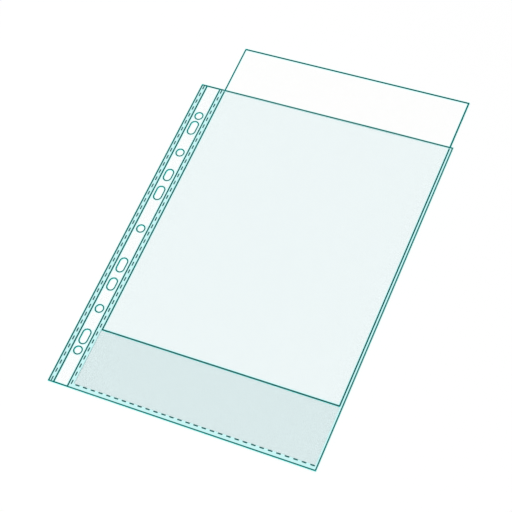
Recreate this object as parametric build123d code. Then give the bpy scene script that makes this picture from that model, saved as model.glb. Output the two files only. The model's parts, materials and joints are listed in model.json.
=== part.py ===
from build123d import *

import math
import os

# Punched sheet protector: a clear film pocket with a reinforced binding edge, and a sheet part way in.
# Millimetres, +Z up. The part lies flat on the plane Z = 0. The origin is on the axis of the middle
# ring hole, at the underside. +X runs from the binding edge to the folded edge, and +Y from the welded
# bottom to the open mouth.

# The sheet that the pocket is made for
SHEET_WIDTH = 210.0
SHEET_LENGTH = 297.0
SHEET_THICKNESS = 0.10
SHEET_LIFT = 50.0  # how far the sheet stands above its seat at the bottom of the pocket

# The film, and the play that the sheet has between its layers
FILM_THICKNESS = 0.12
FACE_PLAY = 0.05  # above and below the sheet
WELD_PLAY = 1.3  # from the sheet to the inner weld
FOLD_PLAY = 2.0  # from the sheet to the fold
SEAT_PLAY = 0.35  # from the seated sheet to the bottom weld
MOUTH_MARGIN = 3.05  # film above the seated sheet

# The reinforced binding edge
STRIP_WIDTH = 14.2
STRIP_THICKNESS = 0.20
OUTER_MARGIN = 4.6  # film outside the strip

# The ring holes, which lie in pairs about the middle one
HOLE_DIAMETER = 6.0
LONG_SLOT_RUN = 6.5  # the straight run of a slot, between its round ends
SHORT_SLOT_RUN = 4.5
FIRST_SLOT_AT = 37.0
SECOND_SLOT_AT = 56.0
FIRST_HOLE_AT = 80.0
THIRD_SLOT_AT = 107.0
SECOND_HOLE_AT = 120.0
HOLE_END_MARGIN = 5.0  # least film between a hole and the end of the binding edge

# The welds, which are rows of dashes
WELD_WIDTH = 1.2
DASH_LENGTH = 4.1
SIDE_DASH_GAP = 3.5
BOTTOM_DASH_GAP = 2.9
WELD_END_INSET = 1.2  # from the end of a side row to the film's edge
OUTER_WELD_INSET = 2.9  # from the film's outer edge
INNER_WELD_OFFSET = 1.4  # from the strip's edge
BOTTOM_WELD_INSET = 4.0  # from the film's bottom edge
FOLD_INSET = 1.9  # from the end of the bottom row to the fold

# The crease beside the strip, on which the pocket lifts
CREASE_TURN = 120.0  # degrees, the furthest that the pocket turns up over the strip
CREASE_CLEARANCE = 0.06

# Heights of the layers, from the underside up
POCKET_GAP = SHEET_THICKNESS + 2 * FACE_PLAY
POCKET_STACK = 2 * FILM_THICKNESS + POCKET_GAP
EDGE_STACK = 2 * FILM_THICKNESS + STRIP_THICKNESS
FRONT_MARGIN_Z = FILM_THICKNESS + STRIP_THICKNESS
FRONT_PANEL_Z = FILM_THICKNESS + POCKET_GAP

# Places across the part
OUTER_EDGE_X = -STRIP_WIDTH / 2 - OUTER_MARGIN
OUTER_WELD_X = OUTER_EDGE_X + OUTER_WELD_INSET
INNER_WELD_X = STRIP_WIDTH / 2 + INNER_WELD_OFFSET
SHEET_LEFT_X = INNER_WELD_X + WELD_WIDTH / 2 + WELD_PLAY
FOLD_X = SHEET_LEFT_X + SHEET_WIDTH + FOLD_PLAY

# Places along the part
POCKET_LENGTH = BOTTOM_WELD_INSET + WELD_WIDTH / 2 + SEAT_PLAY + SHEET_LENGTH + MOUTH_MARGIN
BOTTOM_Y = -POCKET_LENGTH / 2
BOTTOM_WELD_Y = BOTTOM_Y + BOTTOM_WELD_INSET
SEAT_Y = BOTTOM_WELD_Y + WELD_WIDTH / 2 + SEAT_PLAY

# The crease's axis is the centre of the strip's rounded inner edge. The pocket's film starts as far
# from it as it needs to stay clear of the binding edge when it is turned up all the way.
CREASE_X = STRIP_WIDTH / 2 - STRIP_THICKNESS / 2
CREASE_Z = FILM_THICKNESS + STRIP_THICKNESS / 2
TURN = math.radians(CREASE_TURN)
EDGE_RISE = EDGE_STACK - CREASE_Z
POCKET_RISE = POCKET_STACK - CREASE_Z
CREASE_GAP = (EDGE_RISE + CREASE_CLEARANCE - POCKET_RISE * math.cos(TURN)) / math.sin(TURN)
PANEL_LEFT_X = CREASE_X + CREASE_GAP

# Each kind of hole: its distance from the middle, and its straight run, which is none on a round hole
HOLES = (
    (0.0, 0.0),
    (FIRST_SLOT_AT, LONG_SLOT_RUN),
    (SECOND_SLOT_AT, SHORT_SLOT_RUN),
    (FIRST_HOLE_AT, 0.0),
    (THIRD_SLOT_AT, LONG_SLOT_RUN),
    (SECOND_HOLE_AT, 0.0),
)


def hole_outline(run):
    """A round hole, or a slot with its straight run along Y."""
    if run == 0:
        return Circle(HOLE_DIAMETER / 2)
    return Rot(0, 0, 90) * SlotCenterToCenter(run, HOLE_DIAMETER)


def punched_holes():
    """All the ring holes that a binding edge of this length has room for."""
    holes = Sketch()
    for place, run in HOLES:
        reach = place + (run + HOLE_DIAMETER) / 2 + HOLE_END_MARGIN
        if reach > POCKET_LENGTH / 2:
            continue
        for y in sorted({-place, place}):
            holes += Pos(0, y) * hole_outline(run)
    return holes


def film(left, right, bottom, holes=None):
    """One layer of film over the full length, from left to right, with its underside at bottom."""
    outline = Pos((left + right) / 2, 0) * Rectangle(right - left, POCKET_LENGTH)
    if holes:
        outline -= holes
    return Pos(0, 0, bottom) * extrude(outline, FILM_THICKNESS)


def reinforcing_strip():
    """The strip between the two films, with rounded long edges, punched with the films."""
    section = Plane.XZ * SlotOverall(STRIP_WIDTH, STRIP_THICKNESS)
    strip = extrude(section, POCKET_LENGTH / 2, both=True)
    strip -= extrude(punched_holes(), STRIP_THICKNESS, both=True)
    return Pos(0, 0, CREASE_Z) * strip


def dash_places(start, end, gap):
    """Middles of the dashes that fill a row from start to end, about a gap apart."""
    run = end - start - DASH_LENGTH
    steps = round(run / (DASH_LENGTH + gap))
    return [start + DASH_LENGTH / 2 + run * step / steps for step in range(steps + 1)]


def weld(places, turn, height):
    """A row of dashes with rounded ends that joins the two films, at the given height apart."""
    dash = Rot(0, 0, turn) * SlotOverall(DASH_LENGTH, WELD_WIDTH)
    dashes = Sketch() + [Pos(x, y) * dash for x, y in places]
    return Pos(0, 0, FILM_THICKNESS) * extrude(dashes, height)


def outer_weld():
    """The weld outside the strip, along the outer edge."""
    rows = dash_places(BOTTOM_Y + WELD_END_INSET, -BOTTOM_Y - WELD_END_INSET, SIDE_DASH_GAP)
    return weld([(OUTER_WELD_X, y) for y in rows], 90, STRIP_THICKNESS)


def inner_weld():
    """The weld beside the strip, from the corner at the bottom to the mouth."""
    rows = dash_places(BOTTOM_WELD_Y - WELD_WIDTH / 2, -BOTTOM_Y - WELD_END_INSET, SIDE_DASH_GAP)
    return weld([(INNER_WELD_X, y) for y in rows], 90, POCKET_GAP)


def bottom_weld():
    """The weld that closes the pocket's bottom, from the inner weld to the fold."""
    start = INNER_WELD_X + WELD_WIDTH / 2 + BOTTOM_DASH_GAP
    columns = dash_places(start, FOLD_X - FOLD_INSET, BOTTOM_DASH_GAP)
    return weld([(x, BOTTOM_WELD_Y) for x in columns], 0, POCKET_GAP)


def side_fold():
    """The pressed fold that joins the back and front films: a half-round edge over the full length."""
    radius = POCKET_STACK / 2
    outline = Circle(radius) & Pos(radius / 2, 0) * Rectangle(radius, 2 * radius)
    fold = extrude(Plane.XZ * outline, POCKET_LENGTH / 2, both=True)
    return Pos(FOLD_X, 0, radius) * fold


def insert_sheet():
    """The loose sheet, lifted above its seat so that it stands out of the mouth."""
    outline = Rectangle(SHEET_WIDTH, SHEET_LENGTH, align=(Align.MIN, Align.MIN))
    sheet = extrude(outline, SHEET_THICKNESS)
    return Pos(SHEET_LEFT_X, SEAT_Y + SHEET_LIFT, FILM_THICKNESS + FACE_PLAY) * sheet


def main():
    """Write every piece to its own file, named for the piece."""
    pieces = {
        "back_margin": film(OUTER_EDGE_X, CREASE_X, 0, punched_holes()),
        "front_margin": film(OUTER_EDGE_X, CREASE_X, FRONT_MARGIN_Z, punched_holes()),
        "reinforcing_strip": reinforcing_strip(),
        "outer_weld": outer_weld(),
        "back_panel": film(PANEL_LEFT_X, FOLD_X, 0),
        "front_panel": film(PANEL_LEFT_X, FOLD_X, FRONT_PANEL_Z),
        "side_fold": side_fold(),
        "inner_weld": inner_weld(),
        "bottom_weld": bottom_weld(),
        "insert_sheet": insert_sheet(),
    }
    os.makedirs("parts", exist_ok=True)
    for node, shape in pieces.items():
        export_step(shape, f"parts/{node}.step")
    width = FOLD_X + POCKET_STACK / 2 - OUTER_EDGE_X
    print(f"pocket {width:.2f} x {POCKET_LENGTH:.2f} x {POCKET_STACK:.2f} mm")
    print(f"crease axis at x {CREASE_X:.3f}, z {CREASE_Z:.3f}, gap to the film {CREASE_GAP:.3f} mm")
    print(f"sheet from x {SHEET_LEFT_X:.3f}, y {SEAT_Y + SHEET_LIFT:.3f} mm")


main()
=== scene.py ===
import json
import math

import bpy
import numpy as np
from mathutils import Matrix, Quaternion, Vector


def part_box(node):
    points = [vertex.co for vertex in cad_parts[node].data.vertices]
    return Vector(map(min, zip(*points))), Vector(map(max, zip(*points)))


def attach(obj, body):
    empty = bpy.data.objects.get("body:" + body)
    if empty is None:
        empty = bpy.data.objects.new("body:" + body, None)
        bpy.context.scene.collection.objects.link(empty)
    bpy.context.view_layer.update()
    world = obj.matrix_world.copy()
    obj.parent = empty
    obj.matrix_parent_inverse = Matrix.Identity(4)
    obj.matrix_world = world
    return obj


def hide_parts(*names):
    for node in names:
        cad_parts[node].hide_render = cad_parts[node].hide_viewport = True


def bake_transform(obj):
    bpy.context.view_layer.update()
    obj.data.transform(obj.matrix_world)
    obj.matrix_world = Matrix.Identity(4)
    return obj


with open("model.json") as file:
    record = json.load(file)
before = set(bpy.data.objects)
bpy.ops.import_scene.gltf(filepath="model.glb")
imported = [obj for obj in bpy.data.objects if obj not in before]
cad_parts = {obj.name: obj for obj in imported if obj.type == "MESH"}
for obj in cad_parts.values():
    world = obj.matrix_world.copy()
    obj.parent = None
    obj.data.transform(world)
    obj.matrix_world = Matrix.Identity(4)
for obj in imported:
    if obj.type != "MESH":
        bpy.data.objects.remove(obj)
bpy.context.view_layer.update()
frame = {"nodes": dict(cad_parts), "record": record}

# A clear punched pocket, folded from one web of film, with a sheet of paper part way in. It lies flat on
# a table. Metres, in the part's frame: +X from the binding edge to the fold, +Y to the open mouth, +Z up.

MM = 0.001
SAME = 1e-8  # points nearer than this are one point
DECIMALS = 7  # of a metre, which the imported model's places hold
ACROSS, ALONG, UP = 0, 1, 2  # the axes X, Y and Z
DOWN = (0.0, 0.0, -1.0)

# Widths of the dark lines along the edges
OUTER_LINE = 1.66 * MM
BOTTOM_LINE = 1.32 * MM
MOUTH_LINE = 1.58 * MM
FOLD_LINE = 1.27 * MM
HOLE_LINE = 1.14 * MM
STRIP_LINE = 1.58 * MM
PAPER_SIDE_LINE = 1.47 * MM
PAPER_TOP_LINE = 1.69 * MM
PAPER_BOTTOM_LINE = 1.56 * MM

# The look across a line, and the form of a cut edge
LINE_FADE = 0.15  # the share of a line in which it fades out
LINE_SIDE = 0.30  # the share of a line, at each side, in which it brightens
FRINGE_END = 1.7  # how far the pale fringe of a line reaches, in widths of the line
EDGE_TURN = np.radians([0, 30, 60, 90])  # the steps in which a cut edge is rounded
RIM_BEAD = 0.35  # how much the film swells at a cut edge, as a share of its half thickness
RIM_BEAD_WIDTH = 0.25 * MM
LAYER_GAP = 0.01 * MM  # air between the strip and the films that hold it

# Spacing of the grids
ROW_STEP = 5.0 * MM
COLUMN_STEP = 6.5 * MM
MARGIN_STEP = 1.0 * MM
CREASE_STEP = 0.36 * MM
SLOT_STEP = 1.6 * MM
FOLD_STEPS = 10
HOLE_RAYS = 14  # rays to each side of a hole's cell
CELL_CORNER = 45  # degrees between the middle of a cell's side and its corner
PAPER_STEP = 10.0 * MM

# The slack of the front film
SLACK_LIFT = 0.30 * MM
SLACK_EDGE = 35.0 * MM  # how far from a weld or the fold the film comes loose
SLACK_MEAN = 0.5  # the mean, and below it the height of each wave, as shares of the lift
SLANT_SHARE = 0.28
CROSS_SHARE = 0.22
WAVE_ACROSS = 118.0 * MM  # lengths of the slanted wave
WAVE_ALONG = 165.0 * MM
CROSS_ACROSS = 0.6  # waves of the crossed one to each wave of the slanted one
CROSS_ALONG = 1.7
CROSS_START = 1.0  # radians

# The weld pads
PAD_RIM = 0.05 * MM  # radius of the rounded rim
PAD_PROUD = 0.02 * MM  # how far a pad stands out of the film
PAD_CROWN = 0.015 * MM  # how far its middle rises above its rim
PAD_CROWN_INSET = 0.6  # of the pad's half width
PAD_END_SIDES = 8
PAD_ENDS_APART = 1.0 * MM  # more than between two points of one round end

# Colours, linear
WELD_TEAL = (0.0, 0.165, 0.155, 1.0)
WELD_SHADE = (0.0, 0.060, 0.054, 1.0)
DEEP_TEAL = (0.0, 0.014, 0.011, 1.0)
BRIGHT_TEAL = (0.0, 0.950, 0.875, 1.0)
AQUA = (0.640, 0.985, 0.985, 1.0)
FRONT_TINT = (0.968, 0.9885, 0.9905, 1.0)  # what one face of the pocket's front film lets through
BACK_TINT = (0.954, 0.972, 0.972, 1.0)  # the same for its back film
COVER_TINT = (0.997, 1.0, 1.0, 1.0)  # the same for both outside the pocket
PAPER_WHITE = (0.985, 0.985, 0.982, 1.0)
PAPER_SHADE = (0.965, 0.967, 0.963, 1.0)
STRIP_WHITE = (0.985, 0.990, 0.990, 1.0)
STRIP_SHADE = (0.970, 0.982, 0.982, 1.0)
TABLE_WHITE = (0.985, 0.985, 0.985, 1.0)
SKY_WHITE = (1.0, 1.0, 1.0, 1.0)

# How much of each finish shows
# Beside the sheet the frosting reaches from the inner weld and the fold to the sheet's edges. There it is
# partly painted light, a pale layer over the shade of those narrow gaps.
FROST = 0.9  # the frosting on the film's outer faces, outside the welds
FROST_FADE = 0.12 * MM  # half the width in which the frosting and the tint fade out
FRINGE = 0.85  # the fringe's colour beside a line
FILM_FRINGE = 0.45  # the same on the pocket's film, through which the sheet's lines show
# The film's dark edge line is partly its own deeper tint at a cut edge and partly painted shade, for the
# dark look that light gives a clear film's cut edge.
FILM_EDGE_TINT_AND_SHADE = 0.95  # a line in the film, which stays a little clear
FILM_MIRROR = 0.012  # what one face of the film mirrors when seen straight on
GRAZE_POWER = 5.0  # how steeply that rises as the view grazes
SOLID_SHEEN = 0.1  # specular level of the lines and of all solid faces

# Grain of the finishes. A noise has its waves to a metre and its finer octaves, a stretch its share of the
# waves on each axis, a roughness its two ends, and a relief its strength and depth.
FILM_GRAIN = (1400.0, 2.0)
FILM_CLOUD = (60.0, 4.0)
FILM_ROUGHNESS = (0.10, 0.20)
FILM_RELIEF = (0.05, 0.02 * MM)
LINE_ROUGHNESS = 0.35
STRIP_GRAIN = (900.0, 3.0)
STRIP_STRETCH = (1.0, 0.25, 1.0)
STRIP_CLOUD = (45.0, 4.0)
STRIP_ROUGHNESS = (0.42, 0.58)
STRIP_RELIEF = (0.15, 0.03 * MM)
WELD_RIPPLE = (1800.0, 2.0)
WELD_CLOUD = (300.0, 3.0)
WELD_ROUGHNESS = (0.22, 0.38)
WELD_RELIEF = (0.20, 0.03 * MM)
PAPER_FIBRE = (1100.0, 5.0)
PAPER_STRETCH = (1.0, 0.4, 1.0)
PAPER_CLOUD = (120.0, 5.0)
PAPER_ROUGHNESS = (0.80, 0.95)
PAPER_RELIEF = (0.25, 0.03 * MM)
NOISE_SPAN = (0.3, 0.7)  # where nearly all values of a noise lie

# The camera, the table and the light
VIEW_FROM = Vector((0.5181, -0.4968, 1.0498))
VIEW_TO = Vector((0.1045, 0.0057, 0.0))
VIEW_ROLL = math.radians(-18.68)
LENS = 106.1  # mm of focal length
TABLE_SIZE = 6.0
TABLE_DROP = 0.06 * MM  # the table lies this far under the film, clear of the welds
SKY_STRENGTH = 0.74  # as a light, where the sky that is seen has 1
LAMP_FROM = Vector((-5.50, -6.00, 13.60))
LAMP_SIZE = 8.8
LAMP_POWER = 896.0  # watts
CLEAR_BOUNCES = 32  # clear faces on the way through both films and back to the lamp


def snug(value):
    """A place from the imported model, without the noise of its short numbers."""
    return round(value, DECIMALS)


def node_box(name):
    """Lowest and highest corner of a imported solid."""
    low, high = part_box(name)
    return Vector(map(snug, low)), Vector(map(snug, high))


def ring_holes():
    """Every ring hole from the bottom up: its place along the strip, straight run and radius."""
    holes = []
    for mount in frame["record"]["mounts"]:
        dims = mount["dims"]
        if mount["kind"] == "bore":
            holes.append((mount["pos_m"][ALONG], 0.0, dims["r_mm"] * MM))
        elif "slot_length_mm" in dims:
            radius = dims["hole_r_mm"] * MM
            run = dims["slot_length_mm"] * MM - 2 * radius
            place = dims["spacing_y_mm"] * MM / 2
            holes += [(-place, run, radius), (place, run, radius)]
    return sorted(holes)


MARGIN_LOW, MARGIN_HIGH = node_box("back_margin")
FOLD_LOW, FOLD_HIGH = node_box("side_fold")
STRIP_LOW, STRIP_HIGH = node_box("reinforcing_strip")
PAPER_LOW, PAPER_HIGH = node_box("insert_sheet")
INNER_LOW, INNER_HIGH = node_box("inner_weld")
_, BOTTOM_HIGH = node_box("bottom_weld")

FILM = MARGIN_HIGH.z - MARGIN_LOW.z
OUTER_X = MARGIN_LOW.x
HALF_LENGTH = MARGIN_HIGH.y
FOLD_X = FOLD_LOW.x
MIDDLE_Z = (FOLD_LOW.z + FOLD_HIGH.z) / 2
FOLD_BEND = (FOLD_HIGH.z - FOLD_LOW.z - FILM) / 2  # radius of the film's middle in the fold
BACK_RUN = FOLD_X - OUTER_X
WEB_WIDTH = 2 * BACK_RUN + math.pi * FOLD_BEND  # of the whole web, laid out flat

FROST_STEPS = np.array([-1, 0, 1]) * FROST_FADE  # steps across the edge of the frosting

HOLES = ring_holes()
HOLE_SPANS = [(y - run / 2 - radius, y + run / 2 + radius) for y, run, radius in HOLES]
HOLE_GAP = min(after[0] - before[1] for before, after in zip(HOLE_SPANS, HOLE_SPANS[1:]))
CELL_HALF = snug(HOLES[0][2] + HOLE_GAP / 2)  # half the width of the cell of points round a hole


def spaced(low, high, step):
    """Even places from low to high, both included, about a step apart."""
    return np.linspace(low, high, max(1, round((high - low) / step)) + 1)


def sorted_places(*groups):
    """All the places of several groups in order, each one once."""
    return np.unique(np.round(np.concatenate(groups) / SAME)) * SAME


def between(places, low, high):
    """The places from low to high, both included."""
    return places[(places > low - SAME / 2) & (places < high + SAME / 2)]


def smooth(value):
    """An even rise from 0 to 1 with level ends."""
    share = np.clip(value, 0, 1)
    return share * share * (3 - 2 * share)


def line_steps(line):
    """Distances from an edge: both sides of the end of its line, and the end of the line's fringe."""
    return line * np.array([1 - LINE_FADE, 1 + LINE_FADE, FRINGE_END])


def edge_steps(half, line):
    """Distances from a cut edge: quarter-round steps of radius half, the bead's width, then the steps
    across its line."""
    return np.concatenate([half * (1 - np.cos(EDGE_TURN)), [RIM_BEAD_WIDTH], line_steps(line)])


def cell_span(hole):
    """Both ends along the strip of the cell round a hole."""
    place, run, _ = hole
    return place - run / 2 - CELL_HALF, place + run / 2 + CELL_HALF


def cell_rows(hole):
    """Rows of the cell round a hole: tangents of even angles at its ends, even steps along a slot."""
    place, run, _ = hole
    fan = CELL_HALF * np.tan(np.radians(np.linspace(0, CELL_CORNER, HOLE_RAYS // 2 + 1)))
    low, high = place - run / 2, place + run / 2
    return np.concatenate([low - fan, spaced(low, high, SLOT_STEP), high + fan])


def length_rows(half, line):
    """All rows along the part: close at the two cut ends and round the holes, wide between them."""
    ends = HALF_LENGTH - edge_steps(half, line)
    groups = [ends, -ends]
    reached = -ends[-1]
    for hole in HOLES:
        low, high = cell_span(hole)
        groups += [spaced(reached, low, ROW_STEP), cell_rows(hole)]
        reached = high
    groups.append(spaced(reached, ends[-1], ROW_STEP))
    return sorted_places(*groups)


def patch(columns, rows):
    """A plain grid: every column crossed with every row, faces counter-clockwise."""
    x, y = np.meshgrid(columns, rows)
    index = np.arange(x.size).reshape(x.shape)
    corners = [index[:-1, :-1], index[:-1, 1:], index[1:, 1:], index[1:, :-1]]
    return np.column_stack([x.ravel(), y.ravel()]), np.stack(corners, axis=-1).reshape(-1, 4)


def hole_cell(hole, columns, rows, steps):
    """The grid round a hole. Rays go from the hole's spine, a point or a slot's straight run, to the
    points of the cell's rectangle. Rings cross them at the given steps from the rim, and the last ring
    is the rectangle."""
    place, run, radius = hole
    up, across = np.ones(len(rows) - 1), np.ones(len(columns) - 1)
    x = np.concatenate([columns[:-1], columns[-1] * up, columns[:0:-1], columns[0] * up])
    y = np.concatenate([rows[0] * across, rows[:-1], rows[-1] * across, rows[:0:-1]])
    spine = np.clip(y, place - run / 2, place + run / 2)
    reach = np.hypot(x, y - spine)
    rings = np.vstack([np.tile(radius + steps[:, None], x.size), reach])
    points = np.stack([rings * x / reach, spine + rings * (y - spine) / reach], axis=-1)
    index = np.arange(rings.size).reshape(rings.shape)
    turned = np.roll(index, -1, axis=1)
    corners = [index[:-1], index[1:], turned[1:], turned[:-1]]
    return points.reshape(-1, 2), np.stack(corners, axis=-1).reshape(-1, 4)


def punched_band(centre, rows, half):
    """The band of cells round the holes, with plain patches between them, about the line at centre."""
    columns = CELL_HALF * np.tan(np.radians(np.linspace(-CELL_CORNER, CELL_CORNER, HOLE_RAYS + 1)))
    columns = np.round(columns / SAME) * SAME
    steps = edge_steps(half, HOLE_LINE)[:-1]  # the fringe ends past the cell
    parts = []
    reached = rows[0]
    for hole in HOLES:
        low, high = cell_span(hole)
        plain = between(rows, reached, low)
        if len(plain) > 1:
            parts.append(patch(columns, plain))
        parts.append(hole_cell(hole, columns, between(rows, low, high), steps))
        reached = high
    parts.append(patch(columns, between(rows, reached, rows[-1])))
    return [(points + (centre, 0), faces) for points, faces in parts]


def joined(parts):
    """One grid from several, with the points that lie on each other merged."""
    starts = np.cumsum([0] + [len(points) for points, _ in parts[:-1]])
    points = np.concatenate([points for points, _ in parts])
    faces = np.concatenate([faces + start for (_, faces), start in zip(parts, starts)])
    keys = np.round(points / SAME).astype(np.int64)
    _, first, number = np.unique(keys, axis=0, return_index=True, return_inverse=True)
    return points[first], number.ravel()[faces]


def hole_distance(x, y):
    """Distance from each point to the rim of the nearest hole, for holes centred on x = 0."""
    rims = [
        np.hypot(x, y - np.clip(y, place - run / 2, place + run / 2)) - radius
        for place, run, radius in HOLES
    ]
    return np.min(rims, axis=0)


def line_place(*lines):
    """The place of each point across the nearest of several lines, each given by the distances from its
    edge and its width: 0 on the edge and 1 where the line ends."""
    return np.min([gap / width for gap, width in lines], axis=0)


def rounded_half(distance, half):
    """Half the thickness at a distance from the cut edge: a quarter circle up from nothing."""
    inward = 1 - np.clip(distance / half, 0, 1)
    return half * np.sqrt(1 - inward * inward)


def shell(middle, outward, outer_half, inner_half, faces):
    """A closed wall: the middle surface moved out and in along its normals. On a cut edge, where it has
    no thickness, both sides share their points. The given faces turn clockwise seen from outside. The
    last result is the point of the middle surface that each point comes from."""
    outer = middle + outward * outer_half[:, None]
    inner = middle - outward * inner_half[:, None]
    apart = inner_half > SAME
    inner_index = np.where(apart, len(outer) + np.cumsum(apart) - 1, np.arange(len(outer)))
    points = np.concatenate([outer, inner[apart]])
    source = np.concatenate([np.arange(len(outer)), np.flatnonzero(apart)])
    return points, np.concatenate([faces[:, ::-1], inner_index[faces]]), source


def piece(name, points, faces, materials, values=()):
    """A smooth mesh object at the origin, with its materials and its values at each point."""
    mesh = bpy.data.meshes.new(name)
    mesh.from_pydata(points, [], faces)
    mesh.polygons.foreach_set("use_smooth", np.ones(len(mesh.polygons), bool))
    for key, value in dict(values).items():
        layer = mesh.attributes.new(key, "FLOAT", "POINT")
        layer.data.foreach_set("value", np.ascontiguousarray(value, np.float32))
    for material in materials:
        mesh.materials.append(material)
    made = bpy.data.objects.new(name, mesh)
    bpy.context.scene.collection.objects.link(made)
    return made


def web_section(u):
    """The folded web's section at a distance u along it: the flat back, the half circle of the fold, the
    flat front. Gives X and Z of the film's middle, and the angle of the way out of the pocket."""
    turn = np.clip((u - BACK_RUN) / FOLD_BEND, 0, math.pi) - math.pi / 2
    front = np.maximum(u - BACK_RUN - math.pi * FOLD_BEND, 0)
    x = OUTER_X + np.minimum(u, BACK_RUN) - front + FOLD_BEND * np.cos(turn)
    return x, MIDDLE_Z + FOLD_BEND * np.sin(turn), turn


def front_slack(x, y):
    """How far the front film stands up: two low crossed waves, level where the welds and fold hold it."""
    held = smooth((x - INNER_HIGH.x) / SLACK_EDGE) * smooth((FOLD_X - x) / SLACK_EDGE)
    held = held * smooth((y - BOTTOM_HIGH.y) / SLACK_EDGE)
    slant = np.sin(2 * math.pi * (x / WAVE_ACROSS + y / WAVE_ALONG))
    turns = CROSS_ACROSS * x / WAVE_ACROSS - CROSS_ALONG * y / WAVE_ALONG
    cross = np.sin(2 * math.pi * turns + CROSS_START)
    return SLACK_LIFT * held * (SLACK_MEAN + SLANT_SHARE * slant + CROSS_SHARE * cross)


def web_columns():
    """Columns of the web on each side of its two bands of holes: the outer margin, then the pocket."""
    edge = edge_steps(FILM / 2, OUTER_LINE)
    margin = sorted_places(edge, spaced(edge[-1], -OUTER_X - CELL_HALF, MARGIN_STEP))
    crease = spaced(CELL_HALF, INNER_HIGH.x, CREASE_STEP)
    left, right = PAPER_LOW.x + FROST_STEPS, PAPER_HIGH.x + FROST_STEPS
    panel = spaced(left[-1], right[0], COLUMN_STEP)
    line = FOLD_X - np.append(line_steps(FOLD_LINE), 0)
    back = np.concatenate([crease, left, panel, right, line]) - OUTER_X
    fold = np.linspace(BACK_RUN, WEB_WIDTH / 2, FOLD_STEPS // 2 + 1)
    pocket = sorted_places(back, fold)
    return margin, sorted_places(pocket, WEB_WIDTH - pocket)


def web_grid():
    """The web laid out flat: the columns beside and between its two bands of holes, and the bands."""
    rows = sorted_places(length_rows(FILM / 2, MOUTH_LINE), BOTTOM_HIGH.y + FROST_STEPS)
    margin, pocket = web_columns()
    parts = [patch(columns, rows) for columns in (margin, pocket, np.sort(WEB_WIDTH - margin))]
    for centre in (-OUTER_X, WEB_WIDTH + OUTER_X):
        parts += punched_band(centre, rows, FILM / 2)
    return joined(parts)


def web_edges(u, y):
    """Distances from each point to the nearer long edge of the web and to the rim of the nearest hole."""
    to_edge = np.minimum(u, WEB_WIDTH - u)
    return to_edge, hole_distance(to_edge + OUTER_X, y)


def film_values(u, x, y):
    """What the finish reads at each point: its place across the nearest line, whether it is in the back
    film, and how far it lies inside the pocket and inside the frosting."""
    to_edge, punched = web_edges(u, y)
    lines = [
        (to_edge, OUTER_LINE),
        (HALF_LENGTH + y, BOTTOM_LINE),
        (HALF_LENGTH - y, MOUTH_LINE),
        (np.abs(u - WEB_WIDTH / 2), FOLD_LINE),
        (punched, HOLE_LINE),
    ]
    # The frosting reaches to the sheet's edges. There it is partly painted light, a pale layer over the
    # shade that falls in the narrow gaps beside the sheet.
    past_sheet = np.max([PAPER_LOW.x - x, x - PAPER_HIGH.x, BOTTOM_HIGH.y - y], axis=0)
    return {
        "line_place": line_place(*lines),
        "back": u < WEB_WIDTH / 2,
        "pocket_gap": np.minimum(x - INNER_HIGH.x, y - BOTTOM_HIGH.y),
        "margin_gap": np.minimum(np.abs(x) - STRIP_HIGH.x, past_sheet),
    }


def pocket_film(finish):
    """The web of film: one sheet, punched twice, folded along its middle so that the holes meet. It swells
    to a low bead along its cut edges."""
    flat, faces = web_grid()
    u, y = flat.T
    to_edge, punched = web_edges(u, y)
    rim = np.min([to_edge, HALF_LENGTH - np.abs(y), punched], axis=0)
    x, z, turn = web_section(u)
    lift = np.where(u > WEB_WIDTH / 2, front_slack(x, y), 0)
    middle = np.column_stack([x, y, z + lift])
    outward = np.column_stack([np.cos(turn), np.zeros(len(x)), np.sin(turn)])
    inner_half = rounded_half(rim, FILM / 2)
    bead = 1 + RIM_BEAD * np.exp(-((rim / RIM_BEAD_WIDTH) ** 2))
    points, faces, source = shell(middle, outward, inner_half * bead, inner_half, faces)
    values = {key: value[source] for key, value in film_values(u, x, y).items()}
    values["outside"] = np.arange(len(source)) < len(flat)
    film = piece("pocket_film", points, faces, [finish], values)
    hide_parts("back_margin", "front_margin", "back_panel", "front_panel", "side_fold")
    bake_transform(film)


def flat_shell(name, flat, faces, rim, line, half, finish):
    """A flat closed sheet with rounded cut edges, at the middle height of the pocket. Its outside is its
    underside, because a grid's faces turn counter-clockwise seen from above."""
    middle = np.column_stack([flat, np.full(len(flat), MIDDLE_Z)])
    outward = np.tile(DOWN, (len(flat), 1))
    wall = rounded_half(rim, half)
    points, faces, source = shell(middle, outward, wall, wall, faces)
    return piece(name, points, faces, [finish], {"line_place": line[source]})


def white_strip(finish):
    """The reinforcing strip: a flat band with the same holes as the films, and a hair thinner than the
    gap between them."""
    half = (STRIP_HIGH.z - STRIP_LOW.z) / 2 - LAYER_GAP
    rows = length_rows(half, BOTTOM_LINE)
    right = STRIP_HIGH.x - edge_steps(half, STRIP_LINE)
    right = sorted_places(right[right > CELL_HALF], [CELL_HALF])
    parts = [patch(np.sort(-right), rows), patch(right, rows)] + punched_band(0, rows, half)
    flat, faces = joined(parts)
    x, y = flat.T
    side, end, punched = STRIP_HIGH.x - np.abs(x), HALF_LENGTH - np.abs(y), hole_distance(x, y)
    line = line_place((side, STRIP_LINE), (end, BOTTOM_LINE), (punched, HOLE_LINE))
    rim = np.min([side, end, punched], axis=0)
    strip = flat_shell("white_strip", flat, faces, rim, line, half, finish)
    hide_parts("reinforcing_strip")
    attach(strip, "binding_edge")


def side_places(low, high, half, low_line, high_line):
    """Places across a sheet: rounded edges with their line at both sides, even steps between."""
    first, last = low + edge_steps(half, low_line), high - edge_steps(half, high_line)
    return sorted_places(first, spaced(first[-1], last[-1], PAPER_STEP), last)


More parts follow.
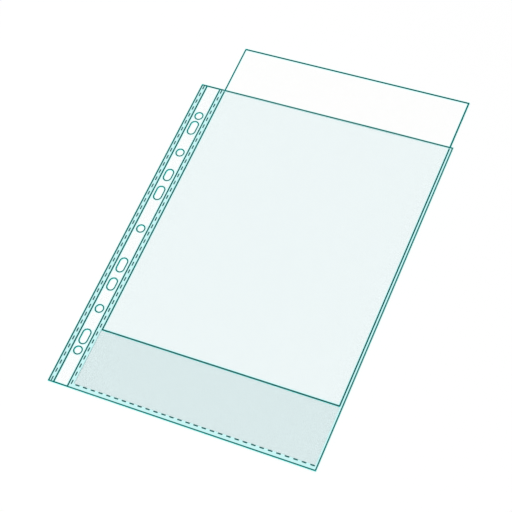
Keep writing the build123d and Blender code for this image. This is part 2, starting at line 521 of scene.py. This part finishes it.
def paper_sheet(finish):
    """The loose sheet: a flat rectangle with soft cut edges."""
    half = (PAPER_HIGH.z - PAPER_LOW.z) / 2
    columns = side_places(PAPER_LOW.x, PAPER_HIGH.x, half, PAPER_SIDE_LINE, PAPER_SIDE_LINE)
    rows = side_places(PAPER_LOW.y, PAPER_HIGH.y, half, PAPER_BOTTOM_LINE, PAPER_TOP_LINE)
    flat, faces = patch(columns, rows)
    x, y = flat.T
    side = np.minimum(x - PAPER_LOW.x, PAPER_HIGH.x - x)
    bottom, top = y - PAPER_LOW.y, PAPER_HIGH.y - y
    line = line_place((side, PAPER_SIDE_LINE), (bottom, PAPER_BOTTOM_LINE), (top, PAPER_TOP_LINE))
    rim = np.min([side, bottom, top], axis=0)
    sheet = flat_shell("paper_sheet", flat, faces, rim, line, half, finish)
    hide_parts("insert_sheet")
    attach(sheet, "sheet")


def dash_spans(name, axis):
    """Start and end of each dash of a weld along an axis. A dash's points lie in two groups, one at each
    of its round ends."""
    mesh = frame["nodes"][name].data
    places = np.zeros(len(mesh.vertices) * 3)
    mesh.vertices.foreach_get("co", places)
    along = np.sort(places.reshape(-1, 3)[:, axis])
    breaks = np.flatnonzero(np.diff(along) > PAD_ENDS_APART)
    firsts = np.concatenate([[0], breaks + 1])
    lasts = np.concatenate([breaks, [len(along) - 1]])
    return along[firsts[::2]], along[lasts[1::2]]


def pad_profile(half_width, low, high):
    """Inset and height of a pad's rings, from the bottom up: a low crown, a rounded rim, an upright side,
    a rounded rim and a low crown."""
    soft = PAD_RIM * (1 - math.sqrt(0.5))
    inset = np.array([PAD_CROWN_INSET * half_width, PAD_RIM, soft, 0])
    rise = np.array([0, PAD_CROWN, PAD_CROWN + soft, PAD_CROWN + PAD_RIM])
    return np.concatenate([inset, inset[::-1]]), np.concatenate([low + rise, high - rise[::-1]])


def stacked_faces(rings):
    """Faces of closed stacks of rings: the sides between each ring and the next, and both ends."""
    index = np.arange(rings[..., UP].size).reshape(rings.shape[:-1])
    turned = np.roll(index, -1, axis=2)
    sides = np.stack([index[:, :-1], turned[:, :-1], turned[:, 1:], index[:, 1:]], axis=-1)
    return sides.reshape(-1, 4).tolist() + index[:, 0, ::-1].tolist() + index[:, -1].tolist()


def weld_pads(name, body, axis, finish):
    """A weld's row of pads: a slot-shaped outline carried up the pad's profile, for every dash at once.
    They go through both films and stand a little proud of them."""
    low, high = node_box(name)
    across = ACROSS + ALONG - axis
    half_width = (high[across] - low[across]) / 2
    starts, ends = dash_spans(name, axis)
    inset, height = pad_profile(half_width, low.z - FILM - PAD_PROUD, high.z + FILM + PAD_PROUD)
    turn = np.linspace(0, math.pi, PAD_END_SIDES + 1)
    turn = np.concatenate([turn, turn + math.pi])
    far = np.repeat([1, -1], PAD_END_SIDES + 1)
    radius = (half_width - inset)[None, :, None]
    middle = ((starts + ends) / 2)[:, None, None]
    run = ((ends - starts) / 2 - half_width)[:, None, None]
    rings = np.zeros((len(starts), len(inset), len(turn), 3))
    rings[..., axis] = middle + far * run + radius * np.sin(turn)
    rings[..., across] = (low[across] + high[across]) / 2 + (axis - across) * radius * np.cos(turn)
    rings[..., UP] = height[None, :, None]
    pads = piece(name + "_pads", rings.reshape(-1, 3), stacked_faces(rings), [finish])
    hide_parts(name)
    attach(pads, body)


def blank_material(name):
    """A material with an empty node tree, and the tree."""
    material = bpy.data.materials.new(name)
    material.use_nodes = True
    material.node_tree.nodes.clear()
    return material, material.node_tree


def node(tree, kind, inputs=(), **settings):
    """A node with its settings, and its inputs set to values or linked to other nodes' outputs."""
    made = tree.nodes.new(kind)
    for key, value in settings.items():
        setattr(made, key, value)
    for key, value in dict(inputs).items():
        if isinstance(value, bpy.types.NodeSocket):
            tree.links.new(value, made.inputs[key])
        else:
            made.inputs[key].default_value = value
    return made


def value_at(tree, name):
    """A value that the piece has at each point."""
    return node(tree, "ShaderNodeAttribute", attribute_name=name).outputs["Fac"]


def noise(tree, grain, stretch=(1.0, 1.0, 1.0)):
    """A noise value on the piece's own coordinates, stretched along the axes."""
    scale, detail = grain
    place = node(tree, "ShaderNodeTexCoord").outputs["Object"]
    place = node(tree, "ShaderNodeMapping", {"Vector": place, "Scale": stretch}).outputs[0]
    inputs = {"Vector": place, "Scale": scale, "Detail": detail}
    return node(tree, "ShaderNodeTexNoise", inputs).outputs["Fac"]


def ranged(tree, value, low, high, to_low, to_high):
    """A value carried smoothly from one range to another, and held at its ends."""
    inputs = {"Value": value, "From Min": low, "From Max": high, "To Min": to_low, "To Max": to_high}
    return node(tree, "ShaderNodeMapRange", inputs, interpolation_type="SMOOTHSTEP").outputs[0]


def math_node(tree, operation, first, second):
    """One value worked out from two others."""
    return node(tree, "ShaderNodeMath", {0: first, 1: second}, operation=operation).outputs[0]


def mixed(tree, share, first, second):
    """A colour between two others. The node's own numbers for its colours are 6, 7 and 2."""
    inputs = {0: share, 6: first, 7: second}
    return node(tree, "ShaderNodeMix", inputs, data_type="RGBA").outputs[2]


def roughness(tree, grain, span):
    """A roughness that follows a noise value from one end of a span to the other."""
    return ranged(tree, grain, *NOISE_SPAN, *span)


def bump(tree, grain, relief):
    """A normal roughened by a noise value, as strongly and as deep as the relief says."""
    strength, depth = relief
    inputs = {"Height": grain, "Strength": strength, "Distance": depth}
    return node(tree, "ShaderNodeBump", inputs).outputs[0]


def past_edge(tree, name, depth=1.0):
    """Nothing before an edge and a depth past it, from the distance that the piece has at each point."""
    return ranged(tree, value_at(tree, name), -FROST_FADE, FROST_FADE, 0.0, depth)


def edge_line(tree, depth=1.0):
    """How dark the line is at a point, from its place across the line."""
    return ranged(tree, value_at(tree, "line_place"), 1.0 - LINE_FADE, 1.0, depth, 0.0)


def line_colour(tree):
    """The colour across a line: deep in its middle and bright at both sides."""
    place = value_at(tree, "line_place")
    rise = ranged(tree, place, 0.0, LINE_SIDE, 0.0, 1.0)
    fall = ranged(tree, place, 1.0 - LINE_SIDE, 1.0, 1.0, 0.0)
    return mixed(tree, math_node(tree, "MULTIPLY", rise, fall), BRIGHT_TEAL, DEEP_TEAL)


def edge_fringe(tree, depth):
    """How much of the pale fringe that lies along a line is at a point."""
    return ranged(tree, value_at(tree, "line_place"), 1.0, FRINGE_END, depth, 0.0)


def mirror_share(tree, normal):
    """How much of the light a face mirrors, the same from inside the film as from outside: least when
    seen straight on, and rising with a power of the slant as the view grazes."""
    slant = node(tree, "ShaderNodeLayerWeight", {"Normal": normal}).outputs["Facing"]
    graze = math_node(tree, "POWER", slant, GRAZE_POWER)
    return node(tree, "ShaderNodeMapRange", {"Value": graze, "To Min": FILM_MIRROR}).outputs[0]


def layered(tree, share, under, over):
    """A shader with a share of another one over it."""
    return node(tree, "ShaderNodeMixShader", {0: share, 1: under, 2: over}).outputs[0]


def lined(tree, white):
    """A white face's colour, with the pale fringe and the dark line along its edges."""
    white = mixed(tree, edge_fringe(tree, FRINGE), white, AQUA)
    return mixed(tree, edge_line(tree), white, line_colour(tree))


def solid(tree, colour, rough, normal):
    """The shader of a solid face with a low sheen."""
    inputs = {
        "Base Color": colour,
        "Specular IOR Level": SOLID_SHEEN,
        "Roughness": rough,
        "Normal": normal,
    }
    return node(tree, "ShaderNodeBsdfPrincipled", inputs).outputs[0]


def grained(tree, colour, grain, span, relief):
    """The shader of a solid face whose roughness and relief follow one grain."""
    return solid(tree, colour, roughness(tree, grain, span), bump(tree, grain, relief))


def show(tree, shader):
    """The shader that the surface has."""
    node(tree, "ShaderNodeOutputMaterial", {"Surface": shader})


def clear_film_finish():
    """Clear glossy film with a fine pressed grain, tinted in the pocket and frosted outside it and beside
    the sheet, with a dense line along its edges. The line is partly the film's own deeper tint at a cut
    edge and partly painted shade, for the dark look that light gives a clear film's cut edge. The frosting
    beside the sheet is partly painted light over the shade of the narrow gaps there."""
    material, tree = blank_material("clear_film")
    grain = bump(tree, noise(tree, FILM_GRAIN), FILM_RELIEF)
    tint = mixed(tree, value_at(tree, "back"), FRONT_TINT, BACK_TINT)
    tint = mixed(tree, past_edge(tree, "pocket_gap"), COVER_TINT, tint)
    clear = node(tree, "ShaderNodeBsdfTransparent", {"Color": tint}).outputs[0]
    rough = roughness(tree, noise(tree, FILM_CLOUD), FILM_ROUGHNESS)
    gloss = node(tree, "ShaderNodeBsdfGlossy", {"Roughness": rough, "Normal": grain}).outputs[0]
    film = layered(tree, mirror_share(tree, grain), clear, gloss)
    # Beside the sheet this frosting is partly painted light over the shade of the narrow gaps.
    frosting = past_edge(tree, "margin_gap", FROST)
    fringe = edge_fringe(tree, past_edge(tree, "pocket_gap", FILM_FRINGE))
    pale = math_node(tree, "MAXIMUM", frosting, fringe)
    pale = math_node(tree, "MULTIPLY", pale, value_at(tree, "outside"))
    frost = node(tree, "ShaderNodeBsdfDiffuse", {"Color": AQUA, "Normal": grain}).outputs[0]
    film = layered(tree, pale, film, frost)
    # The dense line along the film's edges and hole rims: partly the film's own edge tint, partly painted
    # shade for the dark look that light gives a clear cut edge.
    dense = solid(tree, line_colour(tree), LINE_ROUGHNESS, grain)
    show(tree, layered(tree, edge_line(tree, FILM_EDGE_TINT_AND_SHADE), film, dense))
    return material


def strip_finish():
    """White satin plastic with a fine grain along its length, and a dark line along its edges."""
    material, tree = blank_material("white_strip")
    grain = noise(tree, STRIP_GRAIN, STRIP_STRETCH)
    white = mixed(tree, noise(tree, STRIP_CLOUD), STRIP_SHADE, STRIP_WHITE)
    show(tree, grained(tree, lined(tree, white), grain, STRIP_ROUGHNESS, STRIP_RELIEF))
    return material


def weld_finish():
    """Melted film: dense teal with a glossy, finely rippled face."""
    material, tree = blank_material("weld_bead")
    ripple = noise(tree, WELD_RIPPLE)
    teal = mixed(tree, noise(tree, WELD_CLOUD), WELD_SHADE, WELD_TEAL)
    show(tree, grained(tree, teal, ripple, WELD_ROUGHNESS, WELD_RELIEF))
    return material


def paper_finish():
    """White paper with a faint cloudy look and a fibre grain, and a dark line along its edges."""
    material, tree = blank_material("paper")
    fibre = noise(tree, PAPER_FIBRE, PAPER_STRETCH)
    white = mixed(tree, noise(tree, PAPER_CLOUD), PAPER_SHADE, PAPER_WHITE)
    show(tree, grained(tree, lined(tree, white), fibre, PAPER_ROUGHNESS, PAPER_RELIEF))
    return material


def table_finish():
    """A plain white table top."""
    material, tree = blank_material("table")
    show(tree, node(tree, "ShaderNodeBsdfDiffuse", {"Color": TABLE_WHITE}).outputs[0])
    return material


def table():
    """The table top: one flat square under the part."""
    side = np.array([-1, 1]) * TABLE_SIZE / 2
    flat, faces = patch(side + VIEW_TO.x, side + VIEW_TO.y)
    points = np.column_stack([flat, np.full(len(flat), MARGIN_LOW.z - TABLE_DROP)])
    piece("table", points, faces, [table_finish()])


def sky():
    """An even white sky. It looks pure white, and lights the scene a little less."""
    world = bpy.data.worlds.new("sky")
    world.use_nodes = True
    tree = world.node_tree
    tree.nodes.clear()
    path = node(tree, "ShaderNodeLightPath").outputs
    seen = math_node(tree, "ADD", path["Is Camera Ray"], path["Is Glossy Ray"])
    seen = math_node(tree, "ADD", seen, path["Is Transmission Ray"])
    strength = node(tree, "ShaderNodeMapRange", {"Value": seen, "To Min": SKY_STRENGTH}).outputs[0]
    light = node(tree, "ShaderNodeBackground", {"Color": SKY_WHITE, "Strength": strength}).outputs[0]
    node(tree, "ShaderNodeOutputWorld", {"Surface": light})
    bpy.context.scene.world = world


def lamp():
    """One broad soft lamp, high up beyond the binding edge."""
    light = bpy.data.lights.new("soft_lamp", "AREA")
    light.size = LAMP_SIZE
    light.energy = LAMP_POWER
    made = bpy.data.objects.new("soft_lamp", light)
    made.location = LAMP_FROM
    made.rotation_mode = "QUATERNION"
    made.rotation_quaternion = (VIEW_TO - LAMP_FROM).to_track_quat("-Z", "Y")
    bpy.context.scene.collection.objects.link(made)


def camera():
    """The camera: from the front right, well above, turned a little about its own line of sight."""
    lens = bpy.data.cameras.new("camera")
    lens.lens = LENS
    made = bpy.data.objects.new("camera", lens)
    made.location = VIEW_FROM
    made.rotation_mode = "QUATERNION"
    sight = (VIEW_TO - VIEW_FROM).to_track_quat("-Z", "Y")
    made.rotation_quaternion = sight @ Quaternion((0, 0, 1), VIEW_ROLL)
    bpy.context.scene.collection.objects.link(made)
    bpy.context.scene.camera = made


def main():
    """Build the pieces, the table, the light and the camera. The imported solids stay in the scene,
    hidden.
    """
    pocket_film(clear_film_finish())
    white_strip(strip_finish())
    paper_sheet(paper_finish())
    weld = weld_finish()
    weld_pads("outer_weld", "binding_edge", ALONG, weld)
    weld_pads("inner_weld", "pocket", ALONG, weld)
    weld_pads("bottom_weld", "pocket", ACROSS, weld)
    table()
    sky()
    lamp()
    camera()
    scene = bpy.context.scene
    scene.view_settings.view_transform = "Standard"
    scene.cycles.transparent_max_bounces = CLEAR_BOUNCES


main()
